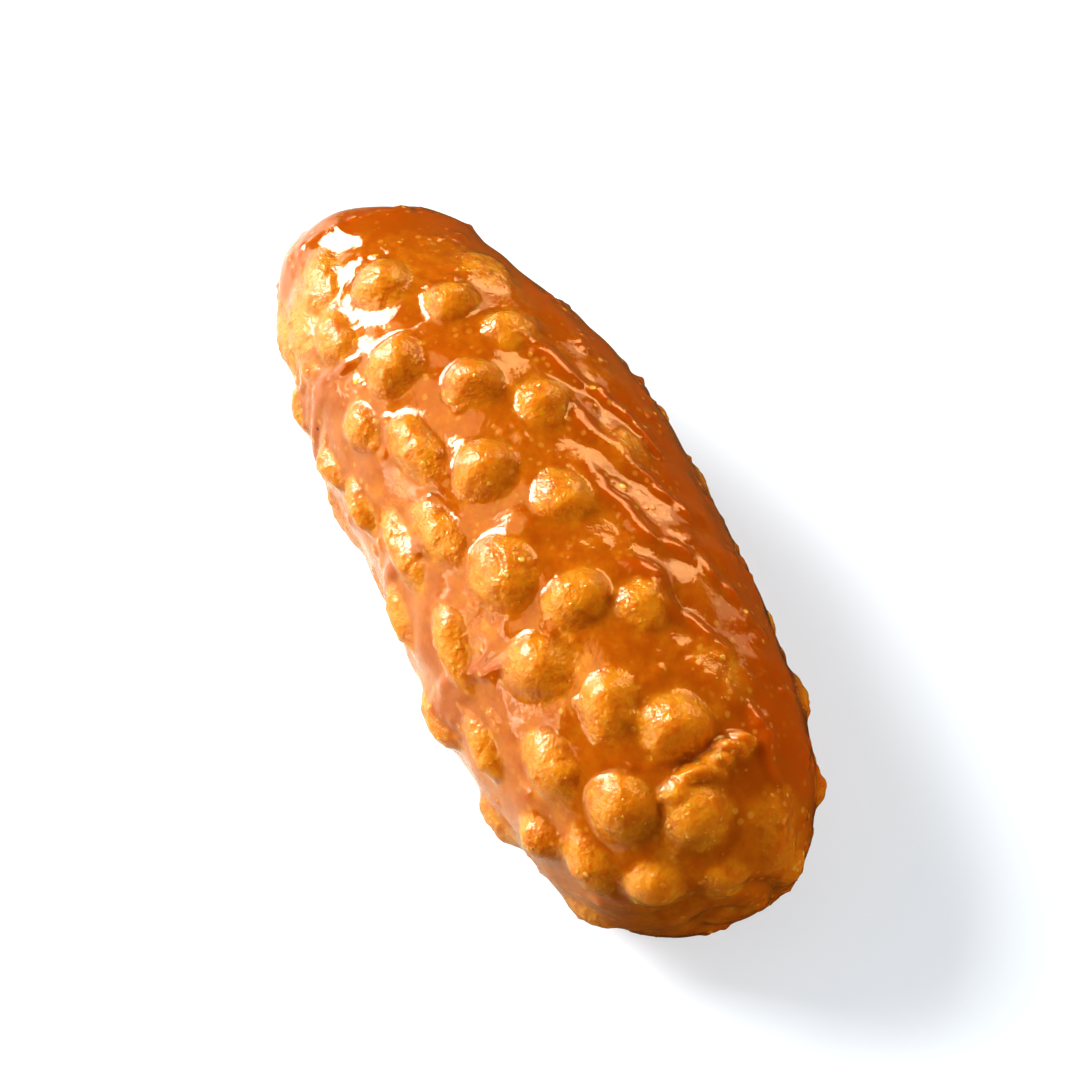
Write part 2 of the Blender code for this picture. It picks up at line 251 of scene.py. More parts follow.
@dataclass(frozen=True)
class BeadPattern:
    """The beads that the perforated plate left.

    Attributes:
        shown: The beads that show from above, one row each: share of the half length, angle in
            degrees, and width, stretch and rise over the usual.
        shown_angles: The angles between which only those stand. Elsewhere the lattice goes on.
        step: From a bead of the lattice to the next, along and round the log.
        row_step: From a row of the lattice to the next, in the same way.
        first: The lattice's first bead.
        radius: The usual bead's radius.
        rise: Its height.
        shift: How far a bead may lie from the lattice.
    """

    shown: tuple[tuple[float, int, float, float, float], ...] = (
        (-0.72, 134, 0.80, 2.0, 0.60),
        (-0.62, 108, 0.95, 1.2, 0.95),
        (-0.51, 90, 0.95, 1.0, 1.02),
        (-0.41, 74, 0.88, 1.0, 0.78),
        (-0.52, 137, 0.84, 1.5, 0.85),
        (-0.36, 119, 1.08, 1.0, 1.12),
        (-0.25, 98, 1.00, 1.0, 1.05),
        (-0.17, 79, 0.92, 1.0, 0.90),
        (-0.25, 142, 0.75, 1.4, 0.80),
        (-0.48, 178, 0.60, 1.6, 0.80),
        (-0.12, 126, 0.82, 1.9, 0.92),
        (-0.01, 108, 1.04, 1.0, 1.10),
        (0.10, 89, 1.00, 1.0, 0.90),
        (-0.25, 168, 0.60, 1.8, 0.80),
        (-0.10, 162, 0.62, 2.0, 0.80),
        (0.26, 118, 1.08, 1.3, 0.95),
        (0.36, 99, 1.00, 1.0, 1.02),
        (0.40, 80, 0.88, 1.1, 0.80),
        (0.08, 150, 0.66, 2.6, 0.75),
        (0.11, 132, 0.66, 2.4, 0.70),
        (0.19, 168, 0.62, 2.2, 0.75),
        (0.49, 122, 1.04, 1.1, 0.90),
        (0.36, 148, 0.70, 2.2, 0.80),
        (0.62, 104, 0.98, 1.2, 0.90),
        (0.69, 84, 1.08, 1.0, 1.00),
        (0.71, 136, 0.95, 1.4, 0.88),
        (0.44, 180, 0.65, 2.0, 0.80),
        (0.58, 161, 0.66, 1.8, 0.80),
        (0.83, 117, 1.00, 1.1, 1.08),
        (0.87, 86, 1.04, 1.0, 0.92),
        (0.85, 47, 0.90, 1.0, 0.45),
        (0.80, 164, 0.74, 1.1, 0.95),
        (0.90, 150, 0.92, 1.3, 0.95),
        (0.97, 127, 0.95, 1.0, 0.95),
        (0.98, 73, 0.80, 1.0, 0.60),
        (0.92, 40, 0.75, 1.0, 0.45),
        (0.94, 18, 0.70, 1.0, 0.50),
        (0.75, 10, 0.50, 1.2, 0.75),
    )
    shown_angles: Pair = (math.radians(64), math.radians(154))
    step: Pair = (3.5 * MM, 4.0 * MM)
    row_step: Pair = (7.9 * MM, -1.9 * MM)
    first: Pair = (-0.3 * MM, -3.7 * MM)
    reach: int = 14
    radius: float = 2.3 * MM
    rise: float = 1.6 * MM
    shift: float = 0.45 * MM
    widths: Pair = (0.84, 1.1)
    stretches: Pair = (1.0, 1.25)
    lifts: Pair = (0.75, 1.1)
    slant: float = 0.3
    least_spacing: float = 4.1 * MM
    last: float = 0.97
    least_rise: float = 0.3 * MM
    low_flank: Pair = (1.2 * MM, 5.0 * MM)
    smooth_end: Pair = (-0.78, -0.92)
    smooth_end_loss: float = 0.7
    blunt_end: Pair = (0.84, 0.95)
    blunt_end_loss: float = 0.65
    pressing: float = 0.85
    pressed_angle: float = math.radians(40)
    pressed_spread: float = math.radians(26)
    pressed_end: Pair = (1.0, 0.85)
    streak_angles: Pair = (math.radians(150), math.radians(205))
    streak_along: Pair = (-0.85, 0.65)
    streak_stretch: float = 2.3
    streak_rise: float = 0.55

    def places(self) -> list[Pair]:
        """The lattice's points, from the first bead outwards.

        Returns:
            How far each lies along and round the log.
        """
        steps = range(-self.reach, self.reach + 1)
        spots = [
            tuple(self.first[a] + m * self.step[a] + n * self.row_step[a] for a in (0, 1))
            for m in steps
            for n in steps
        ]
        return sorted(spots, key=lambda spot: math.dist(spot, self.first))

    def share_of_rise(self, along: float, angle: float, height: float) -> float:
        """How much of its full rise a lattice bead has.

        Args:
            along: Its share of the half length.
            angle: Its angle round the log.
            height: Its height over the floor.

        Returns:
            The share, from 0 to 1.
        """
        low_flank = smooth_step(*self.low_flank, height)
        ends = 1 - self.smooth_end_loss * smooth_step(*self.smooth_end, along)
        ends = ends - self.blunt_end_loss * smooth_step(*self.blunt_end, along)
        pressed = self.pressing * bell(angle, self.pressed_angle, self.pressed_spread)
        pressed = pressed * smooth_step(*self.pressed_end, along)
        return float(low_flank * ends * (1 - pressed))

    def lattice(self, base: Log, draw: random.Random) -> list[tuple[float, float, float, float, float]]:
        """The lattice's beads, without the ones that the table gives.

        Args:
            base: The log that they stand on.
            draw: The source of their unevenness.

        Returns:
            Each bead's place along, angle, width, stretch and rise.
        """
        half_turn = math.pi * base.width / 2
        found = []
        for along_m, round_m in self.places():
            along = (along_m + sway(draw, self.shift)) / (base.length / 2)
            round_m += sway(draw, self.shift)
            width, stretch = draw.uniform(*self.widths), draw.uniform(*self.stretches)
            lift = draw.uniform(*self.lifts)
            angle = math.pi / 2 - round_m / (base.width / 2)
            if self.shown_angles[0] < angle < self.shown_angles[1]:
                continue
            if self.is_streak(along, angle):
                stretch, lift = self.streak_stretch, lift * self.streak_rise
            if abs(along) < self.last and abs(round_m) < half_turn:
                found.append((along, angle, width, stretch, lift))
        return found

    def is_streak(self, along: float, angle: float) -> bool:
        """True where the beads are long and low."""
        low, high = self.streak_angles
        return low < angle < high and self.streak_along[0] < along < self.streak_along[1]

    def skin(self, base: Log) -> list[Bead]:
        """Every bead of the plate.

        Args:
            base: The log that they stand on.

        Returns:
            The table's beads at their full rise, and the lattice's that are clear of the rest.
        """
        draw = random.Random(SEED)
        shown = [(along, math.radians(turn), *shape) for along, turn, *shape in self.shown]
        beads: list[Bead] = []
        for number, (along, angle, width, stretch, lift) in enumerate(shown + self.lattice(base, draw)):
            slant = sway(draw, self.slant)
            new = base.bead(along, angle, width * self.radius, lift * self.rise, stretch, slant)
            if number < len(shown):
                beads.append(new)
                continue
            rise = new.rise * self.share_of_rise(along, angle, new.centre[2])
            crowded = any(np.linalg.norm(new.centre - old.centre) < self.least_spacing for old in beads)
            if rise > self.least_rise and not crowded:
                beads.append(Bead(new.centre, new.radius, rise, new.stretch, new.heading))
        return beads


@dataclass(frozen=True)
class TornLip:
    """A lip of torn skin across the beads, and the hollow that it leaves."""

    along: Pair = (0.83, 0.73)
    angles: Pair = (math.radians(96), math.radians(62))
    count: int = 10
    shift: float = 0.012
    slant: float = 0.4
    radius: float = 0.56 * MM
    rise: float = 1.65 * MM
    rises: Pair = (0.75, 1.08)
    stretch: float = 2.2
    hollow: Pair = (0.757, math.radians(85))
    hollow_radius: float = 1.2 * MM
    hollow_depth: float = 0.8 * MM

    def ridges(self, base: Log) -> list[Bead]:
        """The narrow ridges of the lip.

        Args:
            base: The log that they stand on.

        Returns:
            The ridges, from end to end across the log.
        """
        draw = random.Random(SEED + 6)
        ridges = []
        for step in range(self.count):
            share = step / (self.count - 1)
            along = self.along[0] + share * (self.along[1] - self.along[0])
            along += sway(draw, self.shift)
            angle = self.angles[0] + share * (self.angles[1] - self.angles[0])
            slant = math.pi / 2 + sway(draw, self.slant)
            rise = self.rise * draw.uniform(*self.rises)
            ridges.append(base.bead(along, angle, self.radius, rise, self.stretch, slant))
        return ridges

    def hollow_drop(self, base: Log, points: np.ndarray) -> np.ndarray:
        """How far the surface drops in the hollow."""
        gap = points - base.bead(*self.hollow, self.hollow_radius, 0.0).centre
        return self.hollow_depth * np.exp(-(gap**2).sum(axis=1) / self.hollow_radius**2)


@dataclass(frozen=True)
class Relief:
    """How raised forms stand on the log and blend into one another.

    Attributes:
        fillet: How widely they blend.
        roundness: How full their sides are.
        root: How far below the log they still count.
        warp: How far their outlines are pulled about.
        warp_length: The usual length of such a pull.
        warp_waves: How many waves add up to it.
    """

    fillet: float = 0.24 * MM
    roundness: float = 2.4
    root: float = 1.0 * MM
    warp: float = 0.19 * MM
    warp_length: float = 5.0 * MM
    warp_waves: int = 4

    def add(self, blend: np.ndarray, points: np.ndarray, beads: list[Bead]) -> None:
        """Adds beads to a running sum of exponentials.

        Args:
            blend: The running sum, changed in place.
            points: The bare log's points, pulled about a little.
            beads: The beads to add.
        """
        for one in beads:
            gap = points - one.centre
            lengthwise = gap @ one.heading
            reach = (gap**2).sum(axis=1) - lengthwise**2 * (1 - 1 / one.stretch**2)
            dome = one.rise * (1 - (reach / one.radius**2) ** (self.roundness / 2))
            near = dome > -self.root
            blend[near] += np.exp(dome[near] / self.fillet)

    def height(self, blend: np.ndarray) -> np.ndarray:
        """The blended height that a sum of exponentials stands for."""
        return self.fillet * np.log(blend)

    def pulled(self, points: np.ndarray) -> np.ndarray:
        """The points moved a little, so that the beads' outlines come out uneven."""
        moves = [waves(points, self.warp_length, self.warp_waves, SEED + n) for n in (3, 4, 5)]
        return points + self.warp * np.stack(moves, axis=1)


@dataclass(frozen=True)
class SyrupFilm:
    """The syrup that fills the valleys, with the runs that hang down the flanks."""

    depth: float = 0.3 * MM
    unevenness: float = 0.3
    patch: float = 9.0 * MM
    patch_waves: int = 5
    flank_depth: float = 0.8 * MM
    flank_angle: float = math.radians(35)
    flank_spread: float = math.radians(24)
    flank_end: Pair = (0.9, 0.7)
    end_depth: float = 0.7 * MM
    end_start: Pair = (-0.76, -0.92)
    ripple: float = 0.08 * MM
    ripple_length: float = 3.4 * MM
    ripple_waves: int = 7
    run_places: tuple[float, ...] = (-0.33, -0.12, 0.08, 0.30, 0.55)
    run_angle: float = math.radians(72)
    run_scatter: Pair = (0.03, 0.08)
    run_turn: float = math.radians(4.5)
    run_turns: Pair = (0.3, 1.9)
    run_advance: float = 0.055
    run_advances: Pair = (0.6, 1.3)
    run_slant: float = -0.35
    run_slants: float = 0.4
    run_widths: Pair = (0.85, 1.1)
    run_thick: float = 1.1
    run_thinning: float = 0.5
    run_stretch: float = 2.2
    run_radius: float = 1.0 * MM
    run_rise: float = 0.36 * MM
    run_steps: int = 6
    drips: int = 9
    drip_span: Pair = (-0.7, 0.6)
    drip_starts: Pair = (38.0, 70.0)
    drip_falls: Pair = (7.0, 11.0)
    drip_wander: float = 0.03
    drip_slants: float = 0.25
    drip_thick: float = 0.7
    drip_swelling: float = 0.35

    def level(self, bare: Places) -> np.ndarray:
        """The film's depth over the log.

        Args:
            bare: Places on the bare log.

        Returns:
            The depth at each place.
        """
        patches = waves(bare.points, self.patch, self.patch_waves, SEED + 12)
        flank = bell(bare.angle, self.flank_angle, self.flank_spread)
        flank = flank * smooth_step(*self.flank_end, bare.along)
        end = smooth_step(*self.end_start, bare.along)
        depth = self.depth * (1 + self.unevenness * patches)
        return depth + self.flank_depth * flank + self.end_depth * end

    def ridge(self, base: Log, along: float, angle: float, thick: float, slant: float) -> Bead:
        """One stretch of a run.

        Args:
            base: The log that it runs down.
            along: Its share of the half length.
            angle: Its angle round the log.
            thick: Its thickness over the usual.
            slant: How far it turns from the log's axis.

        Returns:
            The ridge, whose top stands over the film.
        """
        level = float(self.level(base.spot(along, angle))[0])
        radius, rise = self.run_radius * thick, level + self.run_rise * thick
        return base.bead(along, angle, radius, rise, self.run_stretch, slant)

    def run_ridges(self, base: Log) -> list[Bead]:
        """The runs along the smooth flank, and the drips down both flanks.

        Args:
            base: The log that they run down.

        Returns:
            The ridges of all the runs.
        """
        draw = random.Random(SEED + 7)
        ridges = []
        for place in self.run_places:
            along = place + sway(draw, self.run_scatter[0])
            angle = self.run_angle + sway(draw, self.run_scatter[1])
            for step in range(self.run_steps):
                thick = self.run_thick - self.run_thinning * step / self.run_steps
                thick = draw.uniform(*self.run_widths) * thick
                slant = self.run_slant + sway(draw, self.run_slants)
                ridges.append(self.ridge(base, along, angle, thick, slant))
                along += self.run_advance * draw.uniform(*self.run_advances)
                angle -= self.run_turn * draw.uniform(*self.run_turns)
        for drip in range(self.drips):
            side = -1 if drip % 3 else 1
            along = draw.uniform(*self.drip_span)
            angle = math.pi / 2 - side * math.radians(draw.uniform(*self.drip_starts))
            for step in range(self.run_steps):
                thick = self.drip_thick + self.drip_swelling * step / self.run_steps
                slant = math.pi / 2 + sway(draw, self.drip_slants)
                ridges.append(self.ridge(base, along, angle, thick, slant))
                along += sway(draw, self.drip_wander)
                angle -= side * math.radians(draw.uniform(*self.drip_falls))
        return ridges


@dataclass(frozen=True)
class Blisters:
    """Small swellings of the crust, crowded in places."""

    count: int = 1300
    radius: Pair = (0.34 * MM, 0.80 * MM)
    rise: Pair = (0.06 * MM, 0.20 * MM)
    roundness: float = 1.5
    cluster: float = 4.5 * MM
    cluster_waves: int = 8
    crest_pull: float = 0.9
    least_crowd: float = 0.45
    least_height: float = 1.5 * MM

    def swell(self, points: np.ndarray, crest: np.ndarray) -> np.ndarray:
        """How far the blisters lift each point.

        Args:
            points: The skin's points.
            crest: How far up a bead each is.

        Returns:
            The lift at each point.
        """
        draw = random.Random(SEED + 14)
        crowd = waves(points, self.cluster, self.cluster_waves, SEED + 13)
        crowd += self.crest_pull * crest
        chosen = np.flatnonzero((crowd > self.least_crowd) & (points[:, 2] > self.least_height))
        lift = np.zeros(len(points))
        for _ in range(self.count):
            centre = points[draw.choice(chosen)]
            radius, rise = draw.uniform(*self.radius), draw.uniform(*self.rise)
            near = np.flatnonzero(np.abs(points[:, 0] - centre[0]) < radius)
            reach = ((points[near] - centre) ** 2).sum(axis=1) / radius**2
            dome = rise * np.clip(1 - reach, 0, 1) ** self.roundness
            lift[near] = np.maximum(lift[near], dome)
        return lift


@dataclass(frozen=True)
class RolledSheet:
    """The sheet's edge, low on the +Y side, and its coils at both ends."""

    seam_angle: float = math.radians(-40)
    seam_step: float = 0.75 * MM
    seam_width: float = math.radians(-5)
    seam_raggedness: float = math.radians(3)
    seam_wave: float = 5.0 * MM
    seam_waves: int = 4
    seam_fade: Pair = (math.radians(-90), math.radians(-60))
    seam_clear: Pair = (0.35, 0.7)
    coil_pitch: float = 3.6 * MM
    coil_depth: float = 0.4 * MM
    coil_eye: Pair = (0.8 * MM, -0.7 * MM)
    coil_radius: float = 6.5 * MM
    coil_width: float = 0.7 * MM
    coil_ends: Pair = (0.82, 0.93)

    def seam_drop(self, bare: Places) -> np.ndarray:
        """How far the surface drops past the sheet's edge.

        Args:
            bare: Places on the bare log.

        Returns:
            The drop at each place, fading out under the finger.
        """
        ragged = self.seam_raggedness * waves(bare.points, self.seam_wave, self.seam_waves, SEED + 1)
        below = smooth_step(0, self.seam_width, bare.angle - (self.seam_angle + ragged))
        below = below * smooth_step(*self.seam_fade, bare.angle)
        return self.seam_step * below * smooth_step(*self.seam_clear, bare.out)

    def coil_groove(self, bare: Places, axis_height: float) -> np.ndarray:
        """The depth of the spiral at the two ends.

        Args:
            bare: Places on the bare log.
            axis_height: The log's axis over the floor.

        Returns:
            The groove's depth at each place.
        """
        sideways = bare.points[:, 1] - self.coil_eye[0]
        upwards = bare.points[:, 2] - axis_height - self.coil_eye[1]
        radius = np.hypot(sideways, upwards)
        arm = (radius / self.coil_pitch - np.arctan2(upwards, sideways) / math.tau) % 1
        distance = np.minimum(arm, 1 - arm) * self.coil_pitch
        ring = smooth_step(self.coil_radius, self.coil_radius / 2, radius)
        ring = ring * smooth_step(0, self.coil_width * 2, radius)
        ring = self.coil_depth * ring * smooth_step(*self.coil_ends, np.abs(bare.along))
        return ring * bell(distance, 0, self.coil_width)


@dataclass
class SkinGrid:
    """A box's grid laid over the log.

    Attributes:
        base: The log.
        along: Cells along its side.
        across: Cells across each face.
        quads: The faces, as four corner numbers each.
    """

    base: Log
    along: int = 224
    across: int = 88
    quads: Faces = field(default_factory=list)

    def spot(self, i: float, j: float, k: float) -> Triple:
        """Wraps a point of the box, from -1 to 1, round the log.

        Args:
            i: Along the log.
            j: Across it.
            k: Upwards.

        Returns:
            Its (along, out, angle).
        """
        ring = max(abs(j), abs(k))
        if ring == 0:
            angle = 0.0
        elif abs(j) >= abs(k):
            angle = math.pi / 4 * k / j + (math.pi if j < 0 else 0)
        else:
            angle = math.pi / 2 - math.pi / 4 * j / k + (math.pi if k < 0 else 0)
        cap = self.base.cap_start
        if abs(i) == 1:
            return math.copysign(self.base.outline(cap * ring), i), cap * ring, angle
        return cap * i, self.base.outline(cap * i), angle

    def build(self) -> np.ndarray:
        """Lays the grid and fills in the quads.

        Returns:
            The corners' along, out and angle, as three rows.
        """
        index: dict[Corner, int] = {}
        spots: list[Triple] = []
        along, across = self.along, self.across

        def corner(i: int, j: int, k: int) -> int:
            """Finds a corner, or makes it where it is new.

            Args:
                i: Its step along the log.
                j: Its step across.
                k: Its step upwards.

            Returns:
                Its number.
            """
            if (i, j, k) not in index:
                index[i, j, k] = len(spots)
                spots.append(self.spot(2 * i / along - 1, 2 * j / across - 1, 2 * k / across - 1))
            return index[i, j, k]

        def side(rows: int, columns: int, place: Callable[[int, int], Corner]) -> None:
            """Fills in one face of the box.

            Args:
                rows: Its rows of cells.
                columns: Its columns.
                place: Gives the corner at a row and a column.
            """
            for r in range(rows):
                for c in range(columns):
                    around = ((r, c), (r + 1, c), (r + 1, c + 1), (r, c + 1))
                    self.quads.append([corner(*place(*spot)) for spot in around])

        side(across, along, lambda r, c: (c, r, 0))
        side(along, across, lambda r, c: (r, c, across))
        side(along, across, lambda r, c: (r, 0, c))
        side(across, along, lambda r, c: (c, across, r))
        side(across, across, lambda r, c: (0, c, r))
        side(across, across, lambda r, c: (along, r, c))
        return np.array(spots).T

    def outward(self, points: np.ndarray) -> np.ndarray:
        """Unit normals at the grid's points, once these are placed.

        Args:
            points: The placed points.

        Returns:
            One normal for each.
        """
        numbers = np.array(self.quads)
        corners = points[numbers]
        face = np.cross(corners[:, 2] - corners[:, 0], corners[:, 3] - corners[:, 1])
        normals = np.zeros_like(points)
        for turn in range(4):
            np.add.at(normals, numbers[:, turn], face)
        return normals / np.linalg.norm(normals, axis=1)[:, None]


class NodeSketch:
    """Adds nodes to one material and joins them."""

    def __init__(self, name: str) -> None:
        """Starts a material with one Principled surface.

        Args:
            name: The material's name.
        """
        self.material = bpy.data.materials.new(name)
        self.material.use_nodes = True
        self.tree = self.material.node_tree
        self.surface = self.tree.nodes["Principled BSDF"]
        self.place = self.add("ShaderNodeTexCoord").outputs["Object"]

    def add(
        self,
        kind: str,
        inputs: dict[str | int, Value] | None = None,
        **settings: str | bool,
    ) -> bpy.types.Node:
        """Adds a node.

        Args:
            kind: The node's type.
            inputs: A value or a socket for each named or numbered input.
            **settings: The node's own properties.

        Returns:
            The node.
        """
        node = self.tree.nodes.new(kind)
        for name, value in settings.items():
            setattr(node, name, value)
        for name, value in (inputs or {}).items():
            self.feed(node.inputs[name], value)
        return node

    def feed(self, socket: Socket, value: Value) -> None:
        """Links a socket to an input, or sets the input's value.

        Args:
            socket: The input.
            value: What it gets.
        """
        if isinstance(value, Socket):
            self.tree.links.new(value, socket)
        else:
            socket.default_value = value

    def attribute(self, name: str) -> Socket:
        """A number kept on the mesh's points."""
        return self.add("ShaderNodeAttribute", attribute_name=name).outputs["Fac"]

    def noise(self, size: float, detail: float = 2.0, roughness: float = 0.5) -> Socket:
        """Cloudy noise with blotches of about this size."""
        inputs = {"Vector": self.place, "Scale": 1 / size, "Detail": detail, "Roughness": roughness}
        return self.add("ShaderNodeTexNoise", inputs).outputs["Fac"]

    def cells(self, size: float, place: Socket | None = None) -> bpy.types.Node:
        """Random cells of about this size, with a distance and a colour for each."""
        return self.add("ShaderNodeTexVoronoi", {"Vector": place or self.place, "Scale": 1 / size})

    def pulled(self, size: float, far: float) -> Socket:
        """The surface's place pulled about by cloudy noise, so that round forms come out uneven.

        Args:
            size: The size of the noise's blotches.
            far: How far it pulls.

        Returns:
            The place.
        """
        cloud = self.add("ShaderNodeTexNoise", {"Vector": self.place, "Scale": 1 / size})
        inputs = {0: cloud.outputs["Color"], 1: (far, far, far), 2: self.place}
        return self.add("ShaderNodeVectorMath", inputs, operation="MULTIPLY_ADD").outputs[0]

    def channel(self, colour: Socket, number: int) -> Socket:
        """One channel of a colour."""
        return self.add("ShaderNodeSeparateColor", {"Color": colour}).outputs[number]

    def maths(self, operation: str, first: Value, second: Value = 0.0, clamp: bool = False) -> Socket:
        """One sum on two numbers."""
        node = self.add("ShaderNodeMath", {0: first, 1: second}, operation=operation, use_clamp=clamp)
        return node.outputs[0]

    def ramp(
        self, value: Value, low: float, high: float, start: float = 0.0, end: float = 1.0
    ) -> Socket:
        """Maps low..high evenly on to start..end, held at both."""
        inputs = {"Value": value, "From Min": low, "From Max": high, "To Min": start, "To Max": end}
        return self.add("ShaderNodeMapRange", inputs, interpolation_type="SMOOTHSTEP").outputs["Result"]

    def mix(self, share: Value, low: Socket | Triple, high: Socket | Triple) -> Socket:
        """Mixes two colours.

        Args:
            share: The second's share.
            low: The first colour.
            high: The second colour.

        Returns:
            The mixed colour.
        """
        node = self.add("ShaderNodeMix", data_type="RGBA", blend_type="MIX")
        # A Mix node's colour inputs are its numbers 6 and 7, and its colour output is number 2.
        for number, value in ((0, share), (6, low), (7, high)):
            self.feed(node.inputs[number], (*value, 1.0) if isinstance(value, tuple) else value)
        return node.outputs[2]

    def colours(self, value: Value, stops: tuple[tuple[float, Triple], ...]) -> Socket:
        """A colour ramp.

        Args:
            value: What is looked up.
            stops: Each stop's place and colour.

        Returns:
            The colour.
        """
        node = self.add("ShaderNodeValToRGB", {"Fac": value})
        steps = node.color_ramp.elements
        while len(steps) < len(stops):
            steps.new(0.5)
        for step, (place, colour) in zip(steps, stops):
            step.position = place
            step.color = (*colour, 1.0)
        return node.outputs["Color"]

    def bump(self, height: Value, strength: Value, distance: float) -> Socket:
        """A normal roughened by a height."""
        inputs = {"Height": height, "Strength": strength, "Distance": distance}
        return self.add("ShaderNodeBump", inputs).outputs["Normal"]

    def finish(self, **inputs: Value) -> bpy.types.Material:
        """Sets the surface's inputs, by their names with _ for a space.

        Args:
            **inputs: A value or a socket for each.

        Returns:
            The material.
        """
        for name, value in inputs.items():
            self.feed(self.surface.inputs[name.replace("_", " ")], value)
        return self.material


@dataclass(frozen=True)
class SyrupDough:
    """Fried semolina dough under clear syrup: golden where it is bare, amber where it is deep."""

    bare: Triple = (0.75, 0.302, 0.015)
    thin: Triple = (0.61, 0.190, 0.008)
    deep: Triple = (0.50, 0.131, 0.004)
    pooled: Triple = (0.53, 0.119, 0.003)
    grain: Triple = (0.97, 0.58, 0.11)
    toast: Triple = (0.56, 0.14, 0.004)
    speck: Triple = (0.10, 0.02, 0.006)
    sheen: Triple = (1.0, 0.66, 0.28)
    depths: tuple[float, ...] = (0.0, 0.2, 0.5, 1.0)
    mottle_size: float = 1.3 * MM
    mottled: Ramp = (0.3, 0.7, -0.13, 0.15)
    blotch_size: float = 7.0 * MM
    toasted: Ramp = (0.5, 0.75, 0.0, 0.55)
    speck_size: float = 5.0 * MM
    specks_left_out: float = 0.45
    speck_edge: Pair = (0.034, 0.024)
    grain_size: float = 0.72 * MM
    grain_warp: Pair = (0.9 * MM, 0.30 * MM)
    grains_picked: Pair = (0.35, 0.6)
    grain_reach: Ramp = (0.0, 1.0, 0.24, 0.46)
    grain_edge: Pair = (1.0, 0.45)
    grains_crowded: Ramp = (0.42, 0.62, 0.04, 0.32)
    grains_swollen: Ramp = (0.05, 0.6, 0.0, 0.85)
    lump_size: float = 0.70 * MM
    wrinkle_size: float = 0.38 * MM
    wrinkle_share: float = 0.6
    pore_size: float = 0.22 * MM
    pore_share: float = 0.25
    relief: float = 0.20 * MM
    relief_left: Ramp = (0.02, 0.30, 1.0, 0.14)
    coat_relief: float = 0.65
    rough: Ramp = (0.02, 0.25, 0.42, 0.07)
    pore_rough: Ramp = (0.3, 0.7, 0.85, 1.2)

    def tint(self, sketch: NodeSketch, grains: Socket) -> Socket:
        """The colour: the dough's, deepened by the syrup over it, with grains and specks.

        Args:
            sketch: The material.
            grains: Where the pale grains lie, from 0 to 1.

        Returns:
            The colour.
        """
        mottle = sketch.noise(self.mottle_size, 3.0, 0.6)
        syrup = sketch.attribute("syrup")
        uneven = sketch.maths("ADD", syrup, sketch.ramp(mottle, *self.mottled), clamp=True)
        tones = (self.bare, self.thin, self.deep, self.pooled)
        colour = sketch.colours(uneven, tuple(zip(self.depths, tones)))
        toasted = sketch.ramp(sketch.noise(self.blotch_size), *self.toasted)
        colour = sketch.mix(toasted, colour, self.toast)
        colour = sketch.mix(grains, colour, self.grain)
        specks = sketch.cells(self.speck_size)
        chance = sketch.channel(specks.outputs["Color"], 1)
        picked = sketch.maths("GREATER_THAN", chance, self.specks_left_out)
        dot = sketch.maths("MULTIPLY", picked, sketch.ramp(specks.outputs["Distance"], *self.speck_edge))
        return sketch.mix(dot, colour, self.speck)

    def grains(self, sketch: NodeSketch) -> Socket:
        """Where the swollen pale grains lie: thickest on the blisters.

        Args:
            sketch: The material.

        Returns:
            How much of each place is grain, from 0 to 1.
        """
        cells = sketch.cells(self.grain_size, sketch.pulled(*self.grain_warp))
        picked = sketch.ramp(sketch.channel(cells.outputs["Color"], 0), *self.grains_picked)
        reach = sketch.ramp(sketch.channel(cells.outputs["Color"], 1), *self.grain_reach)
        distance = sketch.maths("DIVIDE", cells.outputs["Distance"], reach)
        shown = sketch.maths("MULTIPLY", picked, sketch.ramp(distance, *self.grain_edge))
        crowded = sketch.ramp(sketch.noise(self.blotch_size, 1.0), *self.grains_crowded)
        swollen = sketch.ramp(sketch.attribute("blister"), *self.grains_swollen)
        return sketch.maths("MULTIPLY", shown, sketch.maths("ADD", swollen, crowded), clamp=True)

    def material(self) -> bpy.types.Material:
        """Builds the material.

        Returns:
            The finished material.
        """
        sketch = NodeSketch("syrup_dough_look")
        grains = self.grains(sketch)
        pores = sketch.noise(self.pore_size, 3.0, 0.65)
        lumps = sketch.noise(self.lump_size, 2.0, 0.5)
        wrinkles = sketch.noise(self.wrinkle_size, 2.0, 0.5)
        fine = sketch.maths("MULTIPLY", wrinkles, self.wrinkle_share)
        height = sketch.maths("ADD", sketch.maths("ADD", grains, lumps), fine)
        height = sketch.maths("ADD", height, sketch.maths("MULTIPLY", pores, self.pore_share))
        syrup = sketch.attribute("syrup")
        skinned = sketch.ramp(syrup, *self.relief_left)
        rough = sketch.ramp(syrup, *self.rough)
        coated = sketch.maths("MULTIPLY", skinned, self.coat_relief)
        return sketch.finish(
            Base_Color=self.tint(sketch, grains),
            Roughness=sketch.maths("MULTIPLY", rough, sketch.ramp(pores, *self.pore_rough)),
            Normal=sketch.bump(height, skinned, self.relief),
            IOR=1.45,
            Specular_IOR_Level=0.3,
            Specular_Tint=(*self.sheen, 1.0),
            Subsurface_Weight=0.65,
            Subsurface_Radius=(1.0, 0.22, 0.05),
            Subsurface_Scale=2.6 * MM,
            Coat_Weight=0.9,
            Coat_Roughness=0.035,
            Coat_IOR=1.46,
            Coat_Normal=sketch.bump(height, coated, self.relief),
        )


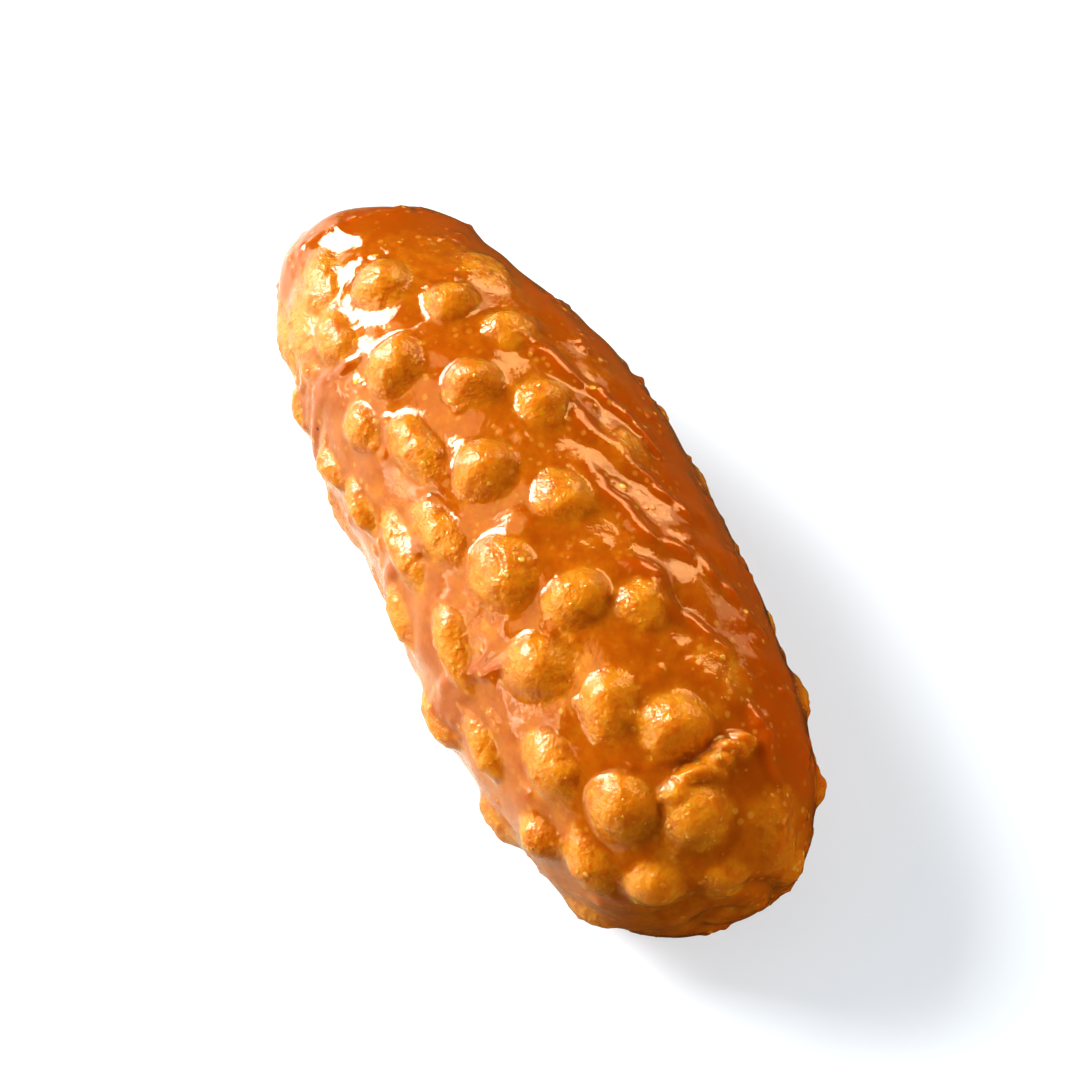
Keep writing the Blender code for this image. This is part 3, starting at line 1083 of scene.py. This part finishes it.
@dataclass(frozen=True)
class ClearSyrup:
    """Syrup on its own, where it hangs or pools clear of the dough."""

    amber: Triple = (0.86, 0.36, 0.05)
    shade: float = 0.7
    cloud_size: float = 2.0 * MM
    clouded: Ramp = (0.3, 0.7, 0.0, 0.5)

    def material(self) -> bpy.types.Material:
        """Builds the material.

        Returns:
            The finished material.
        """
        sketch = NodeSketch("clear_syrup_look")
        cloud = sketch.ramp(sketch.noise(self.cloud_size), *self.clouded)
        colour = sketch.mix(cloud, self.amber, tuple(self.shade * part for part in self.amber))
        return sketch.finish(
            Base_Color=colour,
            Roughness=0.05,
            IOR=1.48,
            Transmission_Weight=0.3,
            Subsurface_Weight=0.6,
            Subsurface_Radius=(1.0, 0.4, 0.08),
            Subsurface_Scale=1.2 * MM,
            Coat_Weight=0.5,
            Coat_Roughness=0.03,
        )


@dataclass(frozen=True)
class SemolinaGrain:
    """A swollen grain of semolina in the skin."""

    pale: Triple = (0.94, 0.52, 0.09)
    brown: Triple = (0.72, 0.27, 0.03)
    patch_size: float = 1.6 * MM
    patched: Pair = (0.35, 0.65)

    def material(self) -> bpy.types.Material:
        """Builds the material.

        Returns:
            The finished material.
        """
        sketch = NodeSketch("semolina_grain_look")
        patch = sketch.ramp(sketch.noise(self.patch_size), *self.patched)
        colour = sketch.mix(patch, self.pale, self.brown)
        return sketch.finish(
            Base_Color=colour,
            Roughness=0.35,
            Subsurface_Weight=0.4,
            Subsurface_Radius=(1.0, 0.4, 0.12),
            Subsurface_Scale=0.6 * MM,
            Coat_Weight=1.0,
            Coat_Roughness=0.06,
        )


@dataclass(frozen=True)
class WhiteTable:
    """The plain pale surface under the finger, with a painted glow for the camera and a painted
    reflection for the gloss.
    """

    white: Triple = (0.60, 0.62, 0.635)
    cloud_size: float = 80.0 * MM
    clouded: Ramp = (0.3, 0.7, 0.0, 0.25)
    cloud_shade: float = 0.985
    # Painted reflection: what the finger's gloss sees of the table instead of its lit colour. It is
    # bright on the -Y side and dim on the +Y side and past the +X end.
    painted_reflection_bright: Triple = (1.0, 0.94, 0.82)
    painted_reflection_dim: Triple = (0.13, 0.07, 0.025)
    painted_reflection_span: Pair = (-12.0 * MM, 12.0 * MM)
    painted_reflection_slant: float = 0.55
    # Painted glow, seen by the camera only: it lightens the table and the finger's cast shadow near it,
    # and rises to full white far off.
    glow: Triple = (0.315, 0.335, 0.350)
    far_glow: Triple = (1.0, 1.0, 1.0)
    far_span: Pair = (0.10, 0.7)

    def material(self) -> bpy.types.Material:
        """Builds the material.

        Returns:
            The finished material.
        """
        sketch = NodeSketch("white_table_look")
        path = sketch.add("ShaderNodeLightPath").outputs
        cloud = sketch.ramp(sketch.noise(self.cloud_size), *self.clouded)
        colour = sketch.mix(cloud, self.white, tuple(self.cloud_shade * part for part in self.white))
        # A painted glow for camera rays that lifts the cast shadow and whitens the far table.
        away = sketch.add("ShaderNodeVectorMath", {0: sketch.place}, operation="LENGTH").outputs["Value"]
        glow = sketch.mix(sketch.ramp(away, *self.far_span), self.glow, self.far_glow)
        # Painted reflection: glossy rays see the table bright towards -Y and dim towards +Y, not its lit
        # colour.
        place = sketch.add("ShaderNodeSeparateXYZ", {"Vector": sketch.place}).outputs
        ahead = sketch.maths("MULTIPLY", sketch.maths("MAXIMUM", place["X"]), self.painted_reflection_slant)
        share = sketch.ramp(sketch.maths("ADD", place["Y"], ahead), *self.painted_reflection_span)
        painted_reflection = sketch.mix(share, self.painted_reflection_bright, self.painted_reflection_dim)
        colour = sketch.mix(path["Is Glossy Ray"], colour, painted_reflection)
        return sketch.finish(
            Base_Color=colour,
            Roughness=0.6,
            Specular_IOR_Level=0.2,
            Emission_Color=glow,
            Emission_Strength=path["Is Camera Ray"],
        )


def make_object(
    name: str, points: np.ndarray, faces: Faces, material: bpy.types.Material
) -> bpy.types.Object:
    """Makes a smooth-shaded mesh object.

    Args:
        name: The piece's name.
        points: Its points.
        faces: Its faces, as corner numbers.
        material: Its finish.

    Returns:
        The object, in the scene.
    """
    mesh = bpy.data.meshes.new(name)
    mesh.from_pydata(points.tolist(), [], faces)
    mesh.materials.append(material)
    mesh.shade_smooth()
    thing = bpy.data.objects.new(name, mesh)
    bpy.context.scene.collection.objects.link(thing)
    return thing


def report(piece: bpy.types.Object) -> None:
    """Logs a piece's name, faces and size."""
    size = " x ".join(f"{side / MM:.1f}" for side in piece.dimensions)
    log.info("%s: %d faces, %s mm", piece.name, len(piece.data.polygons), size)


@dataclass
class FingerSkin:
    """The dough's beaded skin with the syrup film over it, as one closed surface.

    Attributes:
        base: The bare log.
        pattern: The beads.
        lip: The torn lip across them.
        relief: How these blend.
        film: The syrup.
        sheet: The rolled sheet's edge and coils.
        blisters: The crust's small swellings.
        crest_start: The share of a bead's rise over which it counts as crest.
        pimple: The height of the small lumps on the beads.
        pimple_length: Their size.
        pimple_waves: How many waves add up to them.
        points: The finished surface's points, once built.
        normals: Its normals.
        crest: How far up a bead each point is, from 0 to 1.
    """

    base: Log = field(default_factory=Log)
    pattern: BeadPattern = field(default_factory=BeadPattern)
    lip: TornLip = field(default_factory=TornLip)
    relief: Relief = field(default_factory=Relief)
    film: SyrupFilm = field(default_factory=SyrupFilm)
    sheet: RolledSheet = field(default_factory=RolledSheet)
    blisters: Blisters = field(default_factory=Blisters)
    crest_start: float = 0.8
    pimple: float = 0.06 * MM
    pimple_length: float = 1.6 * MM
    pimple_waves: int = 12
    points: np.ndarray | None = None
    normals: np.ndarray | None = None
    crest: np.ndarray | None = None

    def heights(self, bare: Places) -> tuple[np.ndarray, np.ndarray]:
        """The dough's and the syrup's heights over the bare log.

        Args:
            bare: Places on the bare log.

        Returns:
            The dough's height and the height of the film's surface.
        """
        beads = self.pattern.skin(self.base) + self.lip.ridges(self.base)
        pulled = self.relief.pulled(bare.points)
        domes = np.zeros(len(pulled))
        self.relief.add(domes, pulled, beads)
        runs = np.exp(self.film.level(bare) / self.relief.fillet)
        self.relief.add(runs, pulled, self.film.run_ridges(self.base))
        return self.relief.height(domes + 1), self.relief.height(domes + runs)

    def build(self) -> bpy.types.Object:
        """Builds the skin.

        Returns:
            The piece, dressed and riding on its body.
        """
        grid = SkinGrid(self.base)
        bare = self.base.places(*grid.build())
        dough, surface = self.heights(bare)
        crest = np.clip(dough / (self.crest_start * self.pattern.rise), 0, 1)
        syrup = np.clip((surface - dough) / MM, 0, None)
        points = bare.points
        base, film = self.base, self.film
        pimples = waves(points, self.pimple_length, self.pimple_waves, SEED + 8)
        ripples = waves(points, film.ripple_length, film.ripple_waves, SEED + 9)
        lumps = waves(points, base.lump_length, base.lump_waves, SEED + 2)
        height = surface + self.pimple * pimples * crest + film.ripple * ripples * (1 - crest)
        height += base.lump_height * lumps
        height -= self.sheet.seam_drop(bare) + self.lip.hollow_drop(self.base, points)
        height -= self.sheet.coil_groove(bare, self.base.axis_height)
        points = points + grid.outward(points) * height[:, None]
        blister = self.blisters.swell(points, crest)
        points = points + grid.outward(points) * blister[:, None]
        points[:, 2] = np.maximum(points[:, 2], 0)
        low, high = (np.array(corner) for corner in CAD_BOX)
        middle = (points[:, :2].max(axis=0) + points[:, :2].min(axis=0)) / 2
        points[:, :2] += (low + high)[:2] / 2 - middle
        self.points, self.normals, self.crest = points, grid.outward(points), crest
        piece = make_object("beaded_skin", points, grid.quads, SyrupDough().material())
        blister = blister / self.blisters.rise[1]
        for name, values in (("syrup", np.clip(syrup, 0, 1)), ("blister", blister)):
            kept = piece.data.attributes.new(name, "FLOAT", "POINT")
            kept.data.foreach_set("value", values.astype(np.float32))
        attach(piece, BODY)
        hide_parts(NODE)
        return piece


@dataclass
class SkinGrains:
    """Swollen semolina grains that stand in the beads under a skim of syrup."""

    skin: FingerSkin
    count: int = 1100
    radius: Pair = (0.10 * MM, 0.24 * MM)
    sunk: float = 0.8
    shrinking: Pair = (0.8, 1.0)
    lengths: Pair = (0.8, 1.3)
    heights: Pair = (0.8, 1.1)
    cluster: float = 4.0 * MM
    cluster_waves: int = 8
    least_crowd: float = 0.1
    least_crest: float = 0.25
    least_height: float = 2.5 * MM

    def ball(self) -> tuple[np.ndarray, np.ndarray]:
        """A small round form.

        Returns:
            Its corners, and its faces as corner numbers.
        """
        form = bmesh.new()
        bmesh.ops.create_icosphere(form, subdivisions=1, radius=1.0)
        corners = np.array([v.co[:] for v in form.verts])
        faces = np.array([[v.index for v in f.verts] for f in form.faces])
        form.free()
        return corners, faces

    def build(self) -> bpy.types.Object:
        """Scatters the grains.

        Returns:
            The piece, with every grain joined into one mesh.
        """
        draw = random.Random(SEED + 10)
        corners, faces = self.ball()
        crowd = waves(self.skin.points, self.cluster, self.cluster_waves, SEED + 13)
        standing = (self.skin.crest > self.least_crest) & (self.skin.points[:, 2] > self.least_height)
        chosen = np.flatnonzero(standing & (crowd > self.least_crowd))
        spots, joined = [], []
        for number in range(self.count):
            at = draw.choice(chosen)
            size = draw.uniform(*self.radius) * draw.uniform(*self.shrinking)
            sides = [size * draw.uniform(*self.lengths), size, size * draw.uniform(*self.heights)]
            centre = self.skin.points[at] - self.skin.normals[at] * size * self.sunk
            spots.append(corners * sides + centre)
            joined.append(faces + number * len(corners))
        points, triangles = np.concatenate(spots), np.concatenate(joined).tolist()
        piece = make_object("semolina_grains", points, triangles, SemolinaGrain().material())
        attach(piece, BODY)
        return piece


@dataclass
class SyrupFoot:
    """The thin skirt of syrup that gathers where the finger meets the floor."""

    skin: FingerSkin
    steps: int = 220
    section: int = 10
    contact: float = 0.35 * MM
    reach: Pair = (0.15 * MM, 0.7 * MM)
    height: Pair = (0.35 * MM, 0.7 * MM)
    tuck: float = 1.1 * MM
    wave: float = 11.0 * MM
    wave_count: int = 6
    least_edge: float = 0.5

    def outline(self, height: float) -> tuple[np.ndarray, np.ndarray]:
        """The line round the finger where its underside stands this high.

        Args:
            height: The height over the floor.

        Returns:
            The line's points on the floor, and the way out at each.
        """
        under = (self.skin.points[:, 2] < height) & (self.skin.normals[:, 2] < 0)
        low = self.skin.points[under][:, :2]
        middle = (low.max(axis=0) + low.min(axis=0)) / 2
        half = (low.max(axis=0) - low.min(axis=0)) / 2
        gap = (low - middle) / half
        turn = np.arctan2(gap[:, 1], gap[:, 0])
        sector = ((turn + math.pi) / math.tau * self.steps).astype(int) % self.steps
        edge = np.zeros(self.steps)
        np.maximum.at(edge, sector, np.hypot(gap[:, 0], gap[:, 1]))
        around = np.stack([np.roll(edge, n) for n in (-2, -1, 0, 1, 2)])
        radius = np.where(edge > self.least_edge, around.mean(axis=0), around.max(axis=0))
        turns = (np.arange(self.steps) + 0.5) / self.steps * math.tau - math.pi
        ring = np.stack([np.cos(turns), np.sin(turns)], axis=1)
        away = ring / half
        away = away / np.linalg.norm(away, axis=1)[:, None]
        return middle + half * ring * radius[:, None], away

    def build(self) -> bpy.types.Object:
        """Builds the skirt as a closed ring.

        Returns:
            The piece.
        """
        line, away = self.outline(self.contact)
        flat = np.zeros((self.steps, 1))
        rim, heading = np.hstack([line, flat]), np.hstack([away, flat])
        uneven = 0.5 + 0.5 * np.clip(waves(rim, self.wave, self.wave_count, SEED + 11), -1, 1)
        reach = self.reach[0] + (self.reach[1] - self.reach[0]) * uneven
        height = self.height[0] + (self.height[1] - self.height[0]) * uneven
        rows = []
        for step in range(self.section):
            share = step / self.section * math.tau
            outwards = np.where(math.cos(share) > 0, reach, self.tuck) * math.cos(share)
            upwards = height * max(math.sin(share), 0.0)
            rows.append(rim + heading * outwards[:, None] + np.array([0, 0, 1.0]) * upwards[:, None])
        points = np.stack(rows, axis=1).reshape(-1, 3)
        faces = [
            [
                n * self.section + s,
                ((n + 1) % self.steps) * self.section + s,
                ((n + 1) % self.steps) * self.section + (s + 1) % self.section,
                n * self.section + (s + 1) % self.section,
            ]
            for n in range(self.steps)
            for s in range(self.section)
        ]
        piece = make_object("syrup_foot", points, faces, ClearSyrup().material())
        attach(piece, BODY)
        return piece


class Purpose(Enum):
    """What a softbox does: lights the dough, shines in its gloss, or both."""

    LIGHT = "light"
    GLOSS = "gloss"
    BOTH = "both"


@dataclass(frozen=True)
class Softbox:
    """One studio light.

    Attributes:
        name: Its name.
        azimuth: Where it stands, in degrees, as a view's azimuth.
        elevation: How high it stands, in degrees.
        distance: How far it stands from the finger.
        size: Its two sides.
        power: Its power in watts.
        colour: Its colour.
        purpose: What it does.
    """

    name: str
    azimuth: float
    elevation: float
    distance: float
    size: Pair
    power: float
    colour: Triple = (1.0, 1.0, 1.0)
    purpose: Purpose = Purpose.BOTH


def direction(azimuth: float, elevation: float) -> Vector:
    """The way from the finger to something at this azimuth and elevation, in degrees."""
    turn, lift = math.radians(azimuth), math.radians(elevation)
    return Vector((math.sin(turn) * math.cos(lift), -math.cos(turn) * math.cos(lift), math.sin(lift)))


@dataclass(frozen=True)
class Studio:
    """The white table, the soft lights and the camera."""

    azimuth: float = 66.0
    elevation: float = 60.0
    lens: float = 85.0
    distance: float = 0.192
    aim: Triple = (0.0, 0.0, 0.0115)
    table_radius: float = 4.0
    nearest: float = 10.0 * MM
    surround: float = 0.22
    surround_tint: Triple = (0.95, 1.0, 1.06)
    mirrored_surround: Triple = (0.15, 0.085, 0.03)
    seen_surround: Triple = (1.0, 1.0, 1.0)
    lights: tuple[Softbox, ...] = (
        Softbox("key_softbox", -46.0, 40.0, 1.20, (0.48, 0.48), 12.4, purpose=Purpose.LIGHT),
        Softbox("right_card", 150.0, 18.0, 1.00, (0.70, 0.50), 3.6, purpose=Purpose.LIGHT),
        Softbox("left_card", -30.0, 14.0, 0.90, (0.80, 0.30), 1.2, (1.0, 0.92, 0.84)),
        Softbox("bead_window", -66.0, 24.0, 1.20, (0.58, 0.58), 12.4, purpose=Purpose.GLOSS),
        Softbox("glint", -60.0, 30.0, 1.10, (0.22, 0.22), 2.8, purpose=Purpose.GLOSS),
        Softbox("crown_window", -40.0, 50.0, 1.20, (0.90, 0.60), 3.3, (1.0, 0.82, 0.62), Purpose.GLOSS),
        Softbox("side_window", -30.0, 14.0, 0.90, (0.90, 0.36), 8.0, purpose=Purpose.GLOSS),
        Softbox("film_window", 217.0, 36.0, 1.20, (0.50, 0.56), 4.4, (1.0, 0.78, 0.52), Purpose.GLOSS),
        Softbox("back_window", 210.0, 18.0, 0.90, (0.60, 0.20), 0.55, (1.0, 0.80, 0.66)),
    )

    def table(self) -> None:
        """Lays the round table top."""
        mesh = bpy.data.meshes.new("white_table")
        form = bmesh.new()
        bmesh.ops.create_circle(form, cap_ends=True, segments=96, radius=self.table_radius)
        form.to_mesh(mesh)
        form.free()
        mesh.materials.append(WhiteTable().material())
        top = bpy.data.objects.new("white_table", mesh)
        bpy.context.scene.collection.objects.link(top)

    def light(self) -> None:
        """Hangs the softboxes and sets the white surroundings."""
        for box in self.lights:
            lamp = bpy.data.lights.new(box.name, "AREA")
            lamp.shape = "RECTANGLE"
            lamp.size, lamp.size_y = box.size
            lamp.energy = box.power
            lamp.color = box.colour
            holder = bpy.data.objects.new(box.name, lamp)
            away = direction(box.azimuth, box.elevation)
            holder.location = Vector(self.aim) + away * box.distance
            holder.rotation_euler = away.to_track_quat("Z", "Y").to_euler()
            holder.visible_diffuse = box.purpose is not Purpose.GLOSS
            holder.visible_glossy = box.purpose is not Purpose.LIGHT
            bpy.context.scene.collection.objects.link(holder)
        world = bpy.data.worlds.new("white_surround")
        world.use_nodes = True
        nodes, links = world.node_tree.nodes, world.node_tree.links
        shade = nodes["Background"]
        shade.inputs["Color"].default_value = (*self.surround_tint, 1.0)
        shade.inputs["Strength"].default_value = self.surround
        seen = nodes.new("ShaderNodeLightPath")
        under = shade.outputs[0]
        rays = {"Is Glossy Ray": self.mirrored_surround, "Is Camera Ray": self.seen_surround}
        for path, colour in rays.items():
            other = nodes.new("ShaderNodeBackground")
            other.inputs["Color"].default_value = (*colour, 1.0)
            either = nodes.new("ShaderNodeMixShader")
            links.new(seen.outputs[path], either.inputs[0])
            links.new(under, either.inputs[1])
            links.new(other.outputs[0], either.inputs[2])
            under = either.outputs[0]
        links.new(under, nodes["World Output"].inputs["Surface"])
        bpy.context.scene.world = world

    def camera(self) -> None:
        """Stands the camera at the photograph's angle to the finger."""
        lens = bpy.data.cameras.new("camera")
        lens.lens = self.lens
        lens.clip_start = self.nearest
        holder = bpy.data.objects.new("camera", lens)
        away = direction(self.azimuth, self.elevation)
        holder.location = Vector(self.aim) + away * self.distance
        holder.rotation_euler = away.to_track_quat("Z", "Y").to_euler()
        bpy.context.scene.collection.objects.link(holder)
        bpy.context.scene.camera = holder

    def build(self) -> None:
        """Sets up the whole studio."""
        self.table()
        self.light()
        self.camera()
        bpy.context.scene.view_settings.view_transform = "Standard"
        bpy.context.scene.view_settings.look = "High Contrast"


def main() -> None:
    """Builds every piece in order."""
    logging.basicConfig(level=logging.INFO, format="%(message)s")
    Studio().build()
    skin = FingerSkin()
    for part in (skin, SkinGrains(skin), SyrupFoot(skin)):
        report(part.build())


if __name__ == "__main__":
    main()
